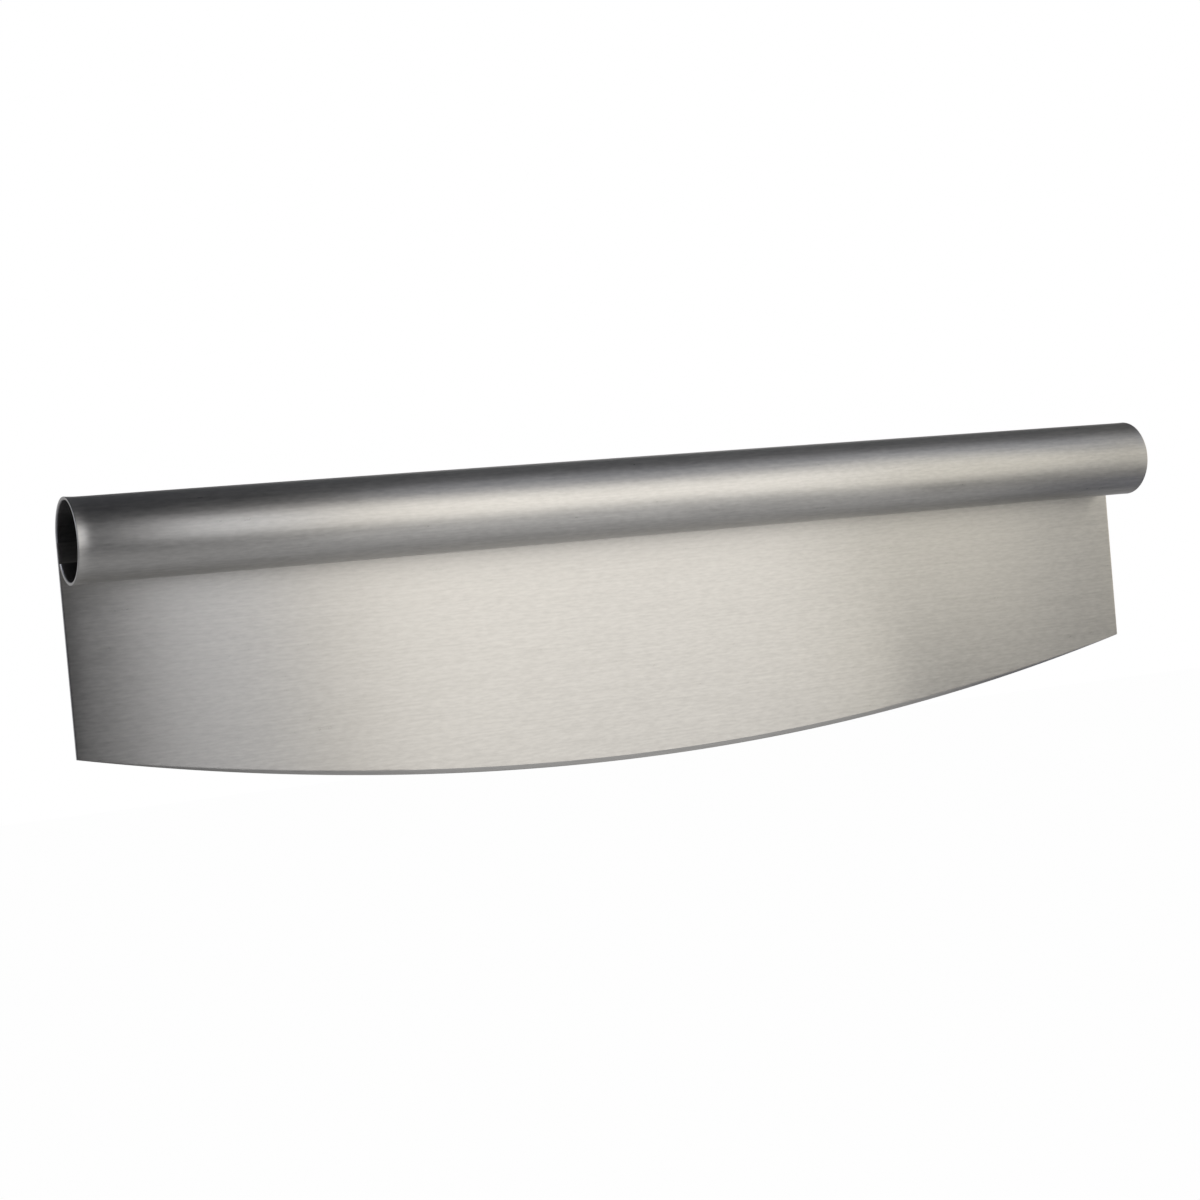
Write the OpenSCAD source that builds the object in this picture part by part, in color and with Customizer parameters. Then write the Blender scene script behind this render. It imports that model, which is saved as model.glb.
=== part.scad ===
// Rocking pizza knife, made of one sheet of stainless steel.
// The top of the sheet is rolled forward into a tubular handle. The lower part
// stays flat, and its bottom is cut to a bow and ground to a cutting edge.
// The sheet is divided at its bend line, where the flat blade turns into the roll.
// X runs along the handle, the flat back faces +Y and the blade points down.
// The origin is on the handle's axis, at the middle of its length.

/* [Sheet] */
// Length of the knife, the same at the handle and at the blade
knife_l = 356; // [280:1:480]
// Thickness of the steel sheet
sheet_t = 0.9; // [0.7:0.05:1.6]

/* [Handle] */
// Bore of the rolled handle
handle_bore = 22; // [16:0.5:32]
// Gap between the free edge of the roll and the front face of the blade
seam_gap = 0.8; // [0.2:0.1:3]

/* [Blade] */
// Drop from the handle's axis to the corners at the ends of the cutting edge
end_drop = 59; // [35:1:90]
// Bow of the cutting edge, which hangs this much lower in the middle
edge_bow = 20; // [6:0.5:35]

/* [Grind] */
// Width of the bevel ground on the front face, measured up the blade
bevel_w = 1.5; // [0.8:0.1:4]
// Thickness left at the cutting edge
edge_land = 0.1; // [0.05:0.05:0.5]

/* [Hidden] */

// Radius of the roll outside, which is also where the flat back lies
handle_r = handle_bore / 2 + sheet_t;
// Middle of the sheet's thickness in the flat blade
sheet_mid_y = handle_r - sheet_t / 2;
// Angle below the bend line at which the roll stops, short of the blade's face
lip_a = acos((handle_r - sheet_t - seam_gap) / handle_r);

// Lowest point of the cutting edge, below the handle's axis
edge_low = end_drop + edge_bow;
// Radius of the bowed edge, from its chord and its bow
edge_r = (pow(knife_l / 2, 2) + pow(edge_bow, 2)) / (2 * edge_bow);
// Height of the centre of the bow
bow_z = edge_r - edge_low;
// Angle of the bow that takes in the whole flat blade
bow_a = 2 * atan2(knife_l / 2, bow_z) + 2;
// How far cutting shapes run past the surfaces that they cut
overcut = 1;

// Section of the sheet across the cutting edge: the bevel is ground into the front
// face alone, and the back stays flat down to the edge
module ground_section() {
    front = sheet_t / 2;
    back = -sheet_t / 2;
    polygon([
        [bow_z - overcut, front],
        [edge_r - bevel_w, front],
        [edge_r, back + edge_land],
        [edge_r, back],
        [bow_z - overcut, back]
    ]);
}

// Sheet whose lower edge follows the bow, swept round the centre of the bow
module bowed_sheet() {
    translate([0, sheet_mid_y, bow_z])
        rotate([90, 0, 0])
            rotate([0, 0, 270 - bow_a / 2])
                rotate_extrude(angle = bow_a, $fn = 720)
                    ground_section();
}

// Square ends of the blade, and the bend line as its top
module blade_trim() {
    translate([-knife_l / 2, sheet_mid_y - sheet_t, -edge_low - overcut])
        cube([knife_l, 2 * sheet_t, edge_low + overcut]);
}

// Sector that the roll leaves open between its free edge and the bend line
module seam_sector() {
    reach = 2 * handle_r;
    polygon([[0, 0], [reach * cos(lip_a), -reach * sin(lip_a)], [reach, 0]]);
}

// Section of the roll: a ring of sheet from the bend line round to its free edge
module roll_section() {
    difference() {
        circle(r = handle_r, $fn = 192);
        circle(d = handle_bore, $fn = 192);
        seam_sector();
    }
}

// Flat blade below the bend line, with its bowed and ground cutting edge
module blade() {
    color("lightgray")
        intersection() {
            bowed_sheet();
            blade_trim();
        }
}

// Tubular handle, open at both ends
module rolled_handle() {
    color("silver")
        translate([-knife_l / 2, 0, 0])
            rotate([90, 0, 90])
                linear_extrude(knife_l)
                    roll_section();
}

blade();
rolled_handle();
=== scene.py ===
import math
import bmesh
import bpy
from mathutils import Matrix, Vector


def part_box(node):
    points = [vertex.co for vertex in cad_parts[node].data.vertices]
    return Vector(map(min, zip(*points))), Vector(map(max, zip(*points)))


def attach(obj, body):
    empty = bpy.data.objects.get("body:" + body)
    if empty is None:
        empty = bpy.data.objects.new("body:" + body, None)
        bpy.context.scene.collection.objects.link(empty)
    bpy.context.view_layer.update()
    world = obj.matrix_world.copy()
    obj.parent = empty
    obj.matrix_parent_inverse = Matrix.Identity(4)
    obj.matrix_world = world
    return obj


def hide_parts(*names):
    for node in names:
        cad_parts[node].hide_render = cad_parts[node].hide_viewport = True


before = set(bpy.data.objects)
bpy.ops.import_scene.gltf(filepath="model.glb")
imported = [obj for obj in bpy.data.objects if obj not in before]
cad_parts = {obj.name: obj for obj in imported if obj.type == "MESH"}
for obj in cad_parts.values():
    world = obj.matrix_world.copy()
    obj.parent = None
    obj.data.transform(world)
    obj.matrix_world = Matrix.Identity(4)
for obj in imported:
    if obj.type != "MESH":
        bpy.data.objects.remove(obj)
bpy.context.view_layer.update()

# Looks of the rocking pizza knife. One sheet of brushed steel makes both pieces, the
# flat blade and the rolled handle, so both are built as a strip of sheet: a turn round
# the strip's section is carried down the blade, or round the roll.

# Sizes of the sheet in metres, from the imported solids
blade_low, blade_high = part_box("blade")
LENGTH = blade_high.x - blade_low.x
THICKNESS = blade_high.y - blade_low.y
ROLL_R = blade_high.y
MID_R = ROLL_R - THICKNESS / 2
EDGE_LOW = -blade_low.z

# Sizes that a box doesn't give
EDGE_BOW = 0.020
BEVEL_WIDTH = 0.0015
EDGE_LAND = 0.0001
SEAM_GAP = 0.0008

# Bow of the cutting edge: its radius, and the height of its centre
EDGE_R = ((LENGTH / 2) ** 2 + EDGE_BOW ** 2) / (2 * EDGE_BOW)
BOW_Z = EDGE_R - EDGE_LOW
# Angle below the bend line at which the roll stops
LIP_ANGLE = math.acos((ROLL_R - THICKNESS - SEAM_GAP) / ROLL_R)

# Broken edges of the cut sheet, which are wider at the mouths of the bore
EDGE_ROUND = 0.00012
MOUTH_ROUND = 0.00045
ROUND_STEPS = 6
# The shears rolled the front face back a little at the blade's left end
END_ROLL = 0.00010
END_ROLL_REACH = 0.0015
# The bevel narrows towards the corners, and its shoulder gets rounder there: the power by
# which it runs out, and the least share of its full size
BEVEL_RUN_OUT = 3.3
BEVEL_LEAST = 0.08
# The rims stand proud of the tube where the cut was dressed, more at the left. The tube
# is drawn in behind a rim, over FLARE_REACH, and comes back to its size over FLARE_RETURN.
# This sets in over the angle FLARE_FADE from the bend line, so that the back stays flat.
FLARE_LEFT = 0.00024
FLARE_RIGHT = 0.00006
FLARE_REACH = 0.0027
FLARE_RETURN = 0.060
FLARE_FADE = math.radians(60)

# Spacing of the mesh along the knife, down the blade and round the roll
STATION_STEP = 0.004
FIRST_STEP = 0.0001
STEP_GROWTH = 1.35
BLADE_ROWS = 24
BEVEL_ROWS = 6
# Share of the way down at which a row lies just above the bevel, to end its shading there
BEVEL_MARGIN = 0.996
ROLL_STEP = math.radians(1.5)
# First angles of the roll, close together so that its shading starts at the bend line
ROLL_STARTS = [math.radians(a) for a in (0, 0.05, 0.2, 0.5, 1)]
# Angle between faces from which an edge is sharp
CREASE = math.radians(20)

# Numbers of the finishes on a piece: the third is the blade's bevel, or the handle's bore
BRUSHED, CUT, GROUND = 0, 1, 2
BORE = GROUND
# A face's normal decides its finish: how far it points along the knife on a cut end, up or
# down on the bevel, down on the land under it, and out of or into the roll on a side
END_FACING = 0.5
BEVEL_FACING = 0.1
LAND_FACING = 0.9
SIDE_FACING = 0.7


def new_object(name, data):
    """Object with the given data, linked to the scene."""
    thing = bpy.data.objects.new(name, data)
    bpy.context.scene.collection.objects.link(thing)
    return thing


def mesh_object(name, mesh):
    """Object made of the finished mesh."""
    data = bpy.data.meshes.new(name)
    mesh.to_mesh(data)
    mesh.free()
    return new_object(name, data)


def round_steps():
    """Angles across a broken edge, from 0 to a right angle."""
    return [math.pi / 2 * i / ROUND_STEPS for i in range(ROUND_STEPS + 1)]


def length_stations():
    """Places along the knife between its broken edges, close together at both ends."""
    reach = LENGTH / 2 - MOUTH_ROUND
    near_end = []
    gap, step = 0.0, FIRST_STEP
    while step < STATION_STEP:
        near_end.append(reach - gap)
        gap += step
        step *= STEP_GROWTH
    inner = reach - gap
    count = math.ceil(2 * inner / STATION_STEP)
    middle = [-inner + 2 * inner * i / count for i in range(count + 1)]
    return [-x for x in near_end] + middle + near_end[::-1]


def half_turn(stations, radius):
    """Points (x, depth) along one side of the sheet, with a rounded corner at each end."""
    corner = [
        (LENGTH / 2 - radius * (1 - math.sin(a)), radius * (1 - math.cos(a)))
        for a in round_steps()
    ]
    left = [(-x, depth) for x, depth in reversed(corner)]
    inside = [(x, 0.0) for x in stations if abs(x) < LENGTH / 2 - radius]
    return left + inside + corner


def sheet_turn(front_round):
    """One turn round the sheet's section as (x, share of the thickness from the front).

    Both sides have the same number of points, so that the ends of a piece close in strips.
    """
    # The outermost stations are left to the rounded corners
    stations = length_stations()[1:-1]
    front = [(x, depth / THICKNESS) for x, depth in half_turn(stations, front_round)]
    back = [(x, 1 - depth / THICKNESS) for x, depth in half_turn(stations, EDGE_ROUND)]
    return front + back[::-1]


def sheet_solid(name, rows, place, front_round, finish):
    """Closed solid of the sheet's turn carried along rows, with place(row, x, share).

    finish(middle, normal) gives the number of a face's material.
    """
    mesh = bmesh.new()
    turn = sheet_turn(front_round)
    rings = [[mesh.verts.new(place(row, x, share)) for x, share in turn] for row in rows]
    count = len(turn)
    for ring, after in zip(rings, rings[1:]):
        for i in range(count):
            j = (i + 1) % count
            mesh.faces.new((ring[i], ring[j], after[j], after[i]))
    for ring in (rings[0], rings[-1]):
        for i in range(count // 2 - 1):
            mesh.faces.new((ring[i], ring[i + 1], ring[count - 2 - i], ring[count - 1 - i]))
    bmesh.ops.recalc_face_normals(mesh, faces=mesh.faces)
    for face in mesh.faces:
        face.material_index = finish(face.calc_center_median(), face.normal)
    piece = mesh_object(name, mesh)
    piece.data.shade_smooth()
    piece.data.set_sharp_from_angle(angle=CREASE)
    return piece


def bevel_share(x):
    """Share of the bevel's full size at x: it runs out towards the corners."""
    return max(1 - abs(2 * x / LENGTH) ** BEVEL_RUN_OUT, BEVEL_LEAST)


def make_blade():
    """Flat blade: even rows to the bevel, then the bevel's rows, which follow the bow."""
    def place(row, x, share):
        down, ground = row
        bevel = bevel_share(x)
        rho = EDGE_R - BEVEL_WIDTH * bevel * (1 - ground)
        z = down * (BOW_Z - math.sqrt(rho ** 2 - x ** 2))
        shoulder = 1 + (2 * x / LENGTH) ** 2
        front_cut = bevel * (THICKNESS - EDGE_LAND) * ground ** shoulder
        front_cut = max(front_cut, END_ROLL * math.exp(-(LENGTH / 2 + x) / END_ROLL_REACH))
        return (x, ROLL_R - (1 - share) * (THICKNESS - front_cut), z)

    def finish(middle, normal):
        if abs(normal.x) > END_FACING:
            return CUT
        bevel = normal.y < 0 and abs(normal.z) > BEVEL_FACING
        land = normal.z < -LAND_FACING
        return GROUND if bevel or land else BRUSHED

    rows = [(i / BLADE_ROWS, 0.0) for i in range(BLADE_ROWS)]
    rows += [(BEVEL_MARGIN, 0.0)]
    rows += [(1.0, i / BEVEL_ROWS) for i in range(BEVEL_ROWS + 1)]
    return sheet_solid("blade_sheet", rows, place, EDGE_ROUND, finish)


def drawn_in(distance):
    """Share of a rim's flare by which the tube lies inside it at a distance from its end."""
    return math.erf(distance / FLARE_REACH) * math.exp(-distance / FLARE_RETURN)


def rim_inset(x, angle):
    """How far the tube lies inside its rims at x, fading out towards the flat back."""
    left = FLARE_LEFT * drawn_in(LENGTH / 2 + x)
    right = FLARE_RIGHT * drawn_in(LENGTH / 2 - x)
    fade = min(angle / FLARE_FADE, 1.0)
    return (left + right) * fade * fade * (3 - 2 * fade)


def make_handle():
    """Rolled handle: the sheet's turn carried round from the bend line to the free edge."""
    full = 2 * math.pi - LIP_ANGLE

    def place(row, x, share):
        angle, half_thickness = row
        r = MID_R + (2 * share - 1) * half_thickness - rim_inset(x, angle)
        return (x, r * math.cos(angle), r * math.sin(angle))

    def finish(middle, normal):
        out = Vector((0, middle.y, middle.z)).normalized().dot(normal)
        if abs(out) < SIDE_FACING:
            return CUT
        return BRUSHED if out > 0 else BORE

    lip = [
        (full - EDGE_ROUND / MID_R * (1 - math.sin(a)),
         THICKNESS / 2 - EDGE_ROUND * (1 - math.cos(a)))
        for a in round_steps()
    ]
    start = ROLL_STARTS[-1]
    span = lip[0][0] - start
    count = math.ceil(span / ROLL_STEP)
    angles = ROLL_STARTS + [start + span / count * i for i in range(1, count)]
    rows = [(a, THICKNESS / 2) for a in angles] + lip
    return sheet_solid("handle_roll", rows, place, MOUTH_ROUND, finish)


# Colour of the steel. The unpolished bore is duller, and its darker colour paints the shade in
# it
STEEL = (0.6, 0.59, 0.57)
BORE_STEEL_AND_SHADE = (0.42, 0.415, 0.41)
# Roughness, and how much the strokes stretch a reflection. The cut edges have no direction.
STEEL_ROUGHNESS = 0.3
CUT_ROUGHNESS = 0.38
BRUSHED_ANISOTROPY = 0.9

# Layers of a finish: their cells along and across the knife in metres, and how much each
# changes the shade, the roughness and the height
STROKES = (
    ("short strokes", 0.0028, 0.0007, 0.19, 0.035, 0.6),
    ("long strokes", 0.0300, 0.0006, 0.11, 0.030, 0.4),
    ("clouds", 0.0500, 0.0140, 0.025, 0.010, 0.0),
)
GROUND_STROKES = (
    ("grinding strokes", 0.0060, 0.0004, 0.12, 0.030, 0.8),
    ("clouds", 0.0400, 0.0100, 0.030, 0.010, 0.0),
)
GRIT = (
    ("grit", 0.0006, 0.0006, 0.16, 0.050, 1.0),
)
# Order of a layer's amounts
SHADE, ROUGH, HEIGHT = 0, 1, 2
# Noise runs from 0 to 1 round its mean, and an amount is the most that a layer adds or takes
NOISE_MEAN = 0.5
STROKE_HEIGHT = 0.000004
STROKE_DETAIL = 3


class Tree:
    """Node tree of a new material or world, with short calls for the nodes used here."""

    def __init__(self, owner, output="ShaderNodeOutputMaterial"):
        self.owner = owner
        owner.use_nodes = True
        self.tree = owner.node_tree
        self.tree.nodes.clear()
        self.surface = self.node(output, "output").inputs["Surface"]

    def node(self, kind, label):
        node = self.tree.nodes.new(kind)
        node.label = label
        return node

    def link(self, source, target):
        self.tree.links.new(source, target)

    def math(self, operation, label, first, second):
        """Math node whose two inputs are sockets or plain numbers."""
        node = self.node("ShaderNodeMath", label)
        node.operation = operation
        for socket, value in zip(node.inputs, (first, second)):
            if isinstance(value, (int, float)):
                socket.default_value = value
            else:
                self.link(value, socket)
        return node.outputs["Value"]


def layer_noise(tree, coordinates, label, along, across):
    """Noise with cells of the given size, less its mean."""
    mapping = tree.node("ShaderNodeMapping", label)
    mapping.inputs["Scale"].default_value = (1 / along, 1 / across, 1 / across)
    tree.link(coordinates, mapping.inputs["Vector"])
    noise = tree.node("ShaderNodeTexNoise", label)
    noise.inputs["Scale"].default_value = 1.0
    noise.inputs["Detail"].default_value = STROKE_DETAIL
    tree.link(mapping.outputs["Vector"], noise.inputs["Vector"])
    return tree.math("SUBTRACT", label, noise.outputs["Fac"], NOISE_MEAN)


def layer_sum(tree, layers, which, label):
    """Sum of the layers' noises, each times the layer's amount of shade, rough or height."""
    total = None
    for noise, amounts in layers:
        if amounts[which]:
            part = tree.math("MULTIPLY", label, noise, amounts[which] / NOISE_MEAN)
            total = part if total is None else tree.math("ADD", label, total, part)
    return total


def steel(name, colour, roughness, anisotropy, table):
    """Steel with a finish made of layers of noise in the knife's own coordinates."""
    tree = Tree(bpy.data.materials.new(name))
    shader = tree.node("ShaderNodeBsdfPrincipled", "steel")
    tree.link(shader.outputs["BSDF"], tree.surface)
    shader.inputs["Metallic"].default_value = 1.0
    shader.inputs["Anisotropic"].default_value = anisotropy
    if anisotropy:
        tangent = tree.node("ShaderNodeTangent", "strokes run along the knife")
        tangent.direction_type = "RADIAL"
        tangent.axis = "X"
        tree.link(tangent.outputs["Tangent"], shader.inputs["Tangent"])
    coordinates = tree.node("ShaderNodeTexCoord", "knife").outputs["Object"]
    layers = [
        (layer_noise(tree, coordinates, label, along, across), amounts)
        for label, along, across, *amounts in table
    ]

    shade = tree.math("ADD", "shade", layer_sum(tree, layers, SHADE, "shade"), 1.0)
    tint = tree.node("ShaderNodeVectorMath", "colour")
    tint.operation = "SCALE"
    tint.inputs[0].default_value = colour
    tree.link(shade, tint.inputs["Scale"])
    tree.link(tint.outputs["Vector"], shader.inputs["Base Color"])

    rough = tree.math("ADD", "roughness", layer_sum(tree, layers, ROUGH, "roughness"), roughness)
    tree.link(rough, shader.inputs["Roughness"])

    bump = tree.node("ShaderNodeBump", "height of the strokes")
    bump.inputs["Distance"].default_value = STROKE_HEIGHT
    tree.link(layer_sum(tree, layers, HEIGHT, "height"), bump.inputs["Height"])
    tree.link(bump.outputs["Normal"], shader.inputs["Normal"])
    return tree.owner


blade = make_blade()
handle = make_handle()
brushed = steel("brushed_steel", STEEL, STEEL_ROUGHNESS, BRUSHED_ANISOTROPY, STROKES)
ground = steel("ground_steel", STEEL, STEEL_ROUGHNESS, BRUSHED_ANISOTROPY, GROUND_STROKES)
cut = steel("cut_steel", STEEL, CUT_ROUGHNESS, 0.0, GRIT)
# The bore's darker steel paints the shade inside the roll
bore = steel("bore_steel_and_shade", BORE_STEEL_AND_SHADE, STEEL_ROUGHNESS, BRUSHED_ANISOTROPY, STROKES)
for piece, node, slot, finishes in (
    (blade, "blade", "blade_steel", (brushed, cut, ground)),
    (handle, "rolled_handle", "handle_steel", (brushed, cut, bore)),
):
    for finish in finishes:
        piece.data.materials.append(finish)
    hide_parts(node)
    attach(piece, "root")

# Camera of the photograph
CAMERA_PLACE = Vector((-0.3285, -0.6134, -0.0128))
CAMERA_YAW = math.radians(26.57)
CAMERA_PITCH = math.radians(-1.41)
CAMERA_ROLL = math.radians(-5.03)
CAMERA_LENS = 69.53
SENSOR_WIDTH = 36.0
CAMERA_NEAREST = 0.01
CAMERA_FARTHEST = 50


def add_camera():
    """Camera that first looks along Y, and is turned by its yaw, pitch and roll."""
    data = bpy.data.cameras.new("camera")
    data.lens = CAMERA_LENS
    data.sensor_width = SENSOR_WIDTH
    data.clip_start = CAMERA_NEAREST
    data.clip_end = CAMERA_FARTHEST
    camera = new_object("camera", data)
    yaw = Matrix.Rotation(-CAMERA_YAW, 4, "Z")
    pitch = Matrix.Rotation(math.pi / 2 + CAMERA_PITCH, 4, "X")
    roll = Matrix.Rotation(CAMERA_ROLL, 4, "Z")
    camera.matrix_world = Matrix.Translation(CAMERA_PLACE) @ yaw @ pitch @ roll
    bpy.context.scene.camera = camera


add_camera()


# Strength of the world where it is seen, and where it only lights
WHITE = 1.0
FILL = 0.8


def set_world():
    """White for the camera and in the steel, and a plain level where it lights."""
    world = bpy.data.worlds.new("world")
    bpy.context.scene.world = world
    tree = Tree(world, "ShaderNodeOutputWorld")
    path = tree.node("ShaderNodeLightPath", "kind of ray")
    seen = path.outputs["Is Camera Ray"]
    for kind in ("Is Glossy Ray", "Is Transmission Ray"):
        seen = tree.math("MAXIMUM", "seen", seen, path.outputs[kind])
    mix = tree.node("ShaderNodeMixShader", "seen or lighting")
    tree.link(seen, mix.inputs["Fac"])
    for label, strength, socket in (
        ("fill", FILL, mix.inputs[1]),
        ("white", WHITE, mix.inputs[2]),
    ):
        back = tree.node("ShaderNodeBackground", label)
        back.inputs["Color"].default_value = (1, 1, 1, 1)
        back.inputs["Strength"].default_value = strength
        tree.link(back.outputs["Background"], socket)
    tree.link(mix.outputs["Shader"], tree.surface)


# The studio is a drum round the handle's axis. Each entry has a name, its left and right
# ends along X in metres, its lowest and highest angle in degrees, from straight in front
# of the knife upwards, its brightness, where 1 is white, and its tint.
LAMP_DISTANCE = 0.45
FLAG_DISTANCE = 0.15
CARD_DISTANCE = 0.62
ROOM_DISTANCE = 0.64
# Ends of the room, and where its dark front gives way to the card at the right
ROOM_LEFT = -0.95
ROOM_RIGHT = 0.72
ROOM_END = 1.2
# Angles behind the knife, where a row of strips stands between these ends
REAR_LOW = 150
REAR_HIGH = 210
REAR_LEFT = -0.15
REAR_RIGHT = 0.85
# Most degrees that a flat part of a curved card takes in, and those of a round card's side
CARD_STEP = 5
END_STEP = 15
# Tints
WARM = (1.05, 1.0, 0.91)
AMBER = (1.075, 1.0, 0.82)
COOL = (1.0, 1.0, 1.02)
BLUE = (0.95, 1.0, 1.25)
PALE_BLUE = (0.95, 1.0, 1.15)
LAMPS = (
    ("key_left", -0.033, 0.050, -17, 35, 1.02, COOL),
    ("key_middle", 0.050, 0.200, -19, 37, 1.06, WARM),
    ("key_right", 0.200, 0.360, -18, 36, 1.01, WARM),
    ("side_lamp", 0.370, 0.522, -28, 49, 0.59, AMBER),
)
# Cards before the room, which the steel reflects
CARDS = (
    ("left_fill", -0.130, -0.045, -16, 28, 0.13, COOL),
    ("wide_card", 0.137, ROOM_RIGHT, -42, 35, 0.44, COOL),
    ("high_left", 0.137, 0.42, 35, 78, 0.31, PALE_BLUE),
    ("high_right", 0.42, ROOM_RIGHT, 35, 78, 0.41, PALE_BLUE),
    ("middle_left", -0.029, 0.10, -61, -36, 0.33, COOL),
    ("middle_right", 0.10, 0.46, -61, -36, 0.60, COOL),
    ("middle_far", 0.46, 0.60, -61, -36, 0.38, COOL),
    ("low_card", -0.029, 0.60, -99, -61, 0.36, COOL),
    ("low_left", -0.25, -0.029, -99, -36, 0.22, COOL),
    ("low_right", 0.60, ROOM_RIGHT, -99, -36, 0.10, BLUE),
)
# Low flags close to the blade, on its right
FLAGS = (
    ("near_flag", 0.080, 0.178, -60, -43, 0.40, COOL),
    ("far_flag", 0.178, 0.450, -56, -27, 0.20, COOL),
)
# Walls of the room, which close the drum
ROOM = (
    ("dark_front", -0.42, ROOM_RIGHT, -110, 100, 0.022, BLUE),
    ("left_card", ROOM_LEFT, -0.42, -110, 100, 0.22, PALE_BLUE),
    ("dark_top", ROOM_LEFT, ROOM_END, 100, 150, 0.060, PALE_BLUE),
    ("dark_low", ROOM_LEFT, ROOM_END, -150, -110, 0.25, COOL),
    ("right_card", ROOM_RIGHT, ROOM_END, -42, 70, 0.97, AMBER),
    ("right_top", ROOM_RIGHT, ROOM_END, 70, 100, 0.060, COOL),
    ("right_low", ROOM_RIGHT, ROOM_END, -110, -42, 0.25, BLUE),
    ("rear_left", ROOM_LEFT, REAR_LEFT, REAR_LOW, REAR_HIGH, 0.37, COOL),
)
# Strips behind the knife, and their brightness at the ends of the row and in its middle
REAR_STRIPS = 20
REAR_LEAST = 0.29
REAR_MOST = 0.95
# Round cards at the drum's ends: where each is, its brightness at the axis' height and
# below, how much brighter it is at its top, and its tint
END_CARDS = (
    ("left_end", ROOM_LEFT, 0.22, 1.8, PALE_BLUE),
    ("right_end", ROOM_END, 0.08, 1.8, COOL),
)


def drum_point(x, angle, distance):
    """Point at an angle in degrees and a distance from the handle's axis."""
    a = math.radians(angle)
    return Vector((x, -distance * math.cos(a), distance * math.sin(a)))


def add_lamp(name, left, right, low, high, brightness, tint):
    """Soft rectangular lamp that faces the handle's axis."""
    width = right - left
    height = 2 * LAMP_DISTANCE * math.tan(math.radians(high - low) / 2)
    data = bpy.data.lights.new(name, "AREA")
    data.shape = "RECTANGLE"
    data.size = width
    data.size_y = height
    # The power that makes the lamp as bright as a card of the same brightness
    data.energy = brightness * math.pi * width * height
    data.color = tint
    lamp = new_object(name, data)
    middle = (low + high) / 2
    place = drum_point((left + right) / 2, middle, LAMP_DISTANCE)
    turn = Matrix.Rotation(math.pi / 2 - math.radians(middle), 4, "X")
    lamp.matrix_world = Matrix.Translation(place) @ turn
    lamp.visible_camera = False


def glow_material(name, brightness, tint, rise=0.0):
    """Glow that is even up to the axis' height, and from there gets brighter by rise."""
    tree = Tree(bpy.data.materials.new(name))
    emission = tree.node("ShaderNodeEmission", name)
    emission.inputs["Color"].default_value = (*tint, 1)
    emission.inputs["Strength"].default_value = brightness
    tree.link(emission.outputs["Emission"], tree.surface)
    if rise:
        place = tree.node("ShaderNodeSeparateXYZ", "place")
        tree.link(tree.node("ShaderNodeTexCoord", "studio").outputs["Object"], place.inputs[0])
        height = tree.math("MAXIMUM", "height over the axis", place.outputs["Z"], 0.0)
        added = tree.math("MULTIPLY", "added glow", height, rise / ROOM_DISTANCE)
        tree.link(tree.math("ADD", "glow", added, brightness), emission.inputs["Strength"])
    return tree.owner


def stage_card(name, mesh, material):
    """Object made of the finished mesh, which only reflections see."""
    card = mesh_object(name, mesh)
    card.data.materials.append(material)
    card.visible_camera = False
    card.visible_diffuse = False
    card.visible_transmission = False
    card.visible_volume_scatter = False
    card.visible_shadow = False


def add_card(name, left, right, low, high, brightness, tint, distance):
    """Curved card of the drum."""
    mesh = bmesh.new()
    count = math.ceil((high - low) / CARD_STEP)
    angles = [low + (high - low) * i / count for i in range(count + 1)]
    rows = [[mesh.verts.new(drum_point(x, a, distance)) for x in (left, right)] for a in angles]
    for row, after in zip(rows, rows[1:]):
        mesh.faces.new((row[0], row[1], after[1], after[0]))
    stage_card(name, mesh, glow_material(name, brightness, tint))


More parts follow.
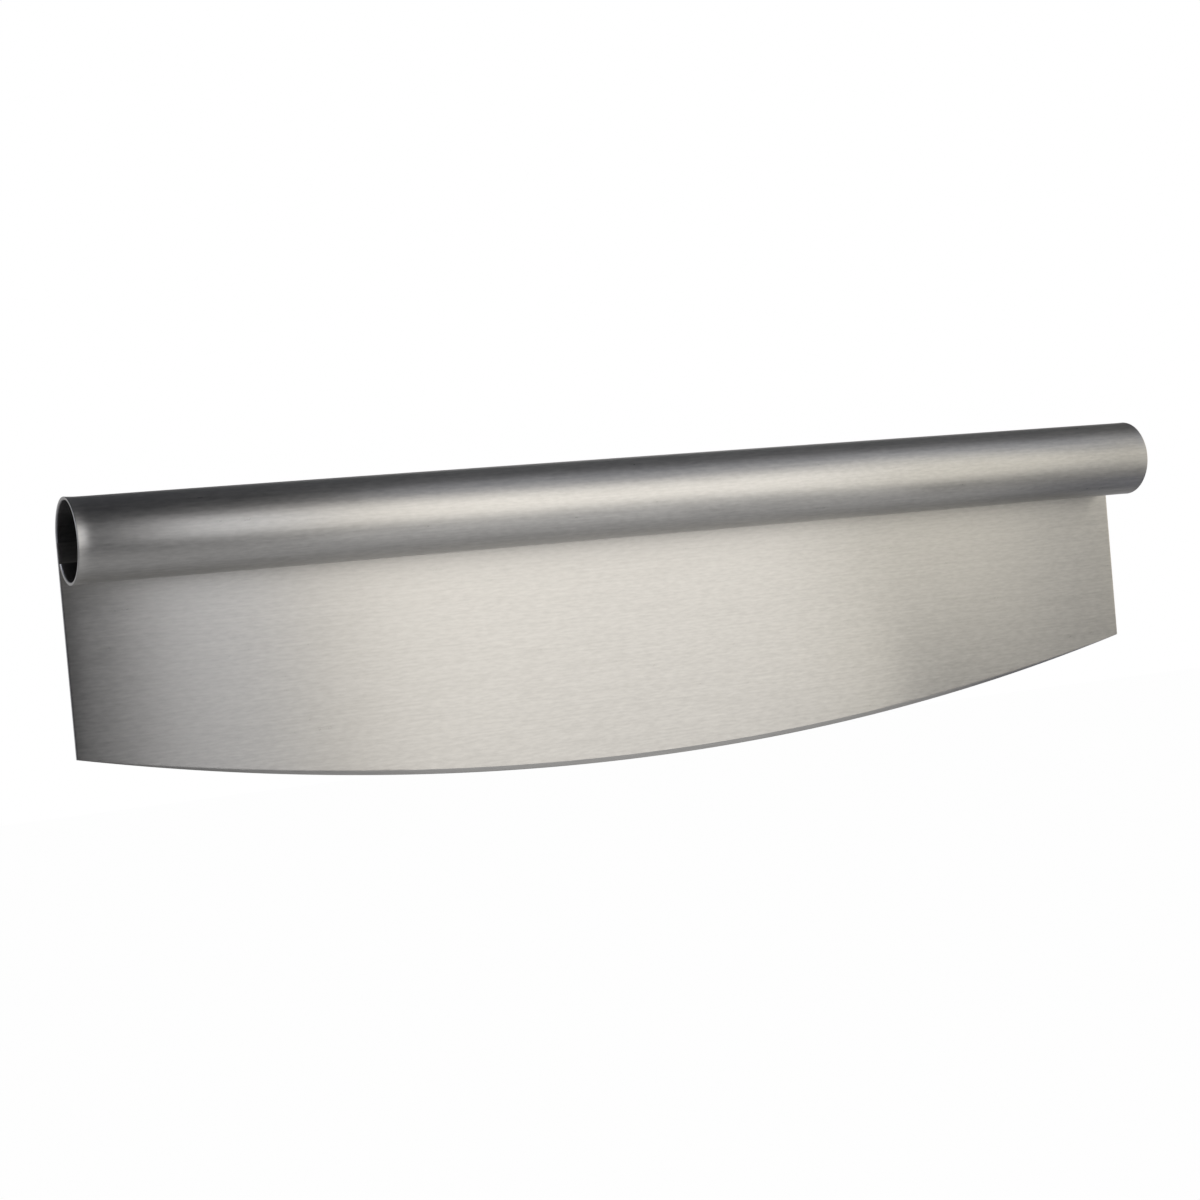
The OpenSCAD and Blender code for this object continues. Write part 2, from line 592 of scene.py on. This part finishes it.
def add_rear_strips():
    """Row of cards behind the knife, brightest in its middle."""
    width = (REAR_RIGHT - REAR_LEFT) / REAR_STRIPS
    for i in range(REAR_STRIPS):
        left = REAR_LEFT + i * width
        swell = math.sin(math.pi * (i + 0.5) / REAR_STRIPS) ** 2
        brightness = REAR_LEAST + (REAR_MOST - REAR_LEAST) * swell
        strip = (f"rear_strip_{i}", left, left + width, REAR_LOW, REAR_HIGH, brightness, COOL)
        add_card(*strip, ROOM_DISTANCE)


def add_end_card(name, x, brightness, rise, tint):
    """Round card that closes an end of the drum."""
    mesh = bmesh.new()
    rim = [drum_point(x, a, ROOM_DISTANCE) for a in range(0, 360, END_STEP)]
    mesh.faces.new([mesh.verts.new(point) for point in rim])
    stage_card(name, mesh, glow_material(name, brightness, tint, rise))


# Floor: its height and width, how much it glows, and how much of the lamps' light it sends on
FLOOR_Z = -0.66
FLOOR_SIZE = 12
FLOOR_GLOW = 0.87
FLOOR_COLOUR = 0.15


def add_floor():
    """Plain white floor. The camera and the steel see it white, less the knife's shadow."""
    mesh = bmesh.new()
    half = FLOOR_SIZE / 2
    corners = ((-half, -half), (half, -half), (half, half), (-half, half))
    mesh.faces.new([mesh.verts.new((x, y, FLOOR_Z)) for x, y in corners])
    tree = Tree(bpy.data.materials.new("floor"))
    diffuse = tree.node("ShaderNodeBsdfDiffuse", "shadow catcher")
    diffuse.inputs["Color"].default_value = (FLOOR_COLOUR, FLOOR_COLOUR, FLOOR_COLOUR, 1)
    emission = tree.node("ShaderNodeEmission", "white")
    emission.inputs["Strength"].default_value = FLOOR_GLOW
    add = tree.node("ShaderNodeAddShader", "floor")
    tree.link(diffuse.outputs["BSDF"], add.inputs[0])
    tree.link(emission.outputs["Emission"], add.inputs[1])
    tree.link(add.outputs["Shader"], tree.surface)
    floor = mesh_object("floor", mesh)
    floor.data.materials.append(tree.owner)


for lamp in LAMPS:
    add_lamp(*lamp)
for card in CARDS:
    add_card(*card, CARD_DISTANCE)
for flag in FLAGS:
    add_card(*flag, FLAG_DISTANCE)
for card in ROOM:
    add_card(*card, ROOM_DISTANCE)
add_rear_strips()
for card in END_CARDS:
    add_end_card(*card)
add_floor()
set_world()
bpy.context.scene.view_settings.view_transform = "Standard"
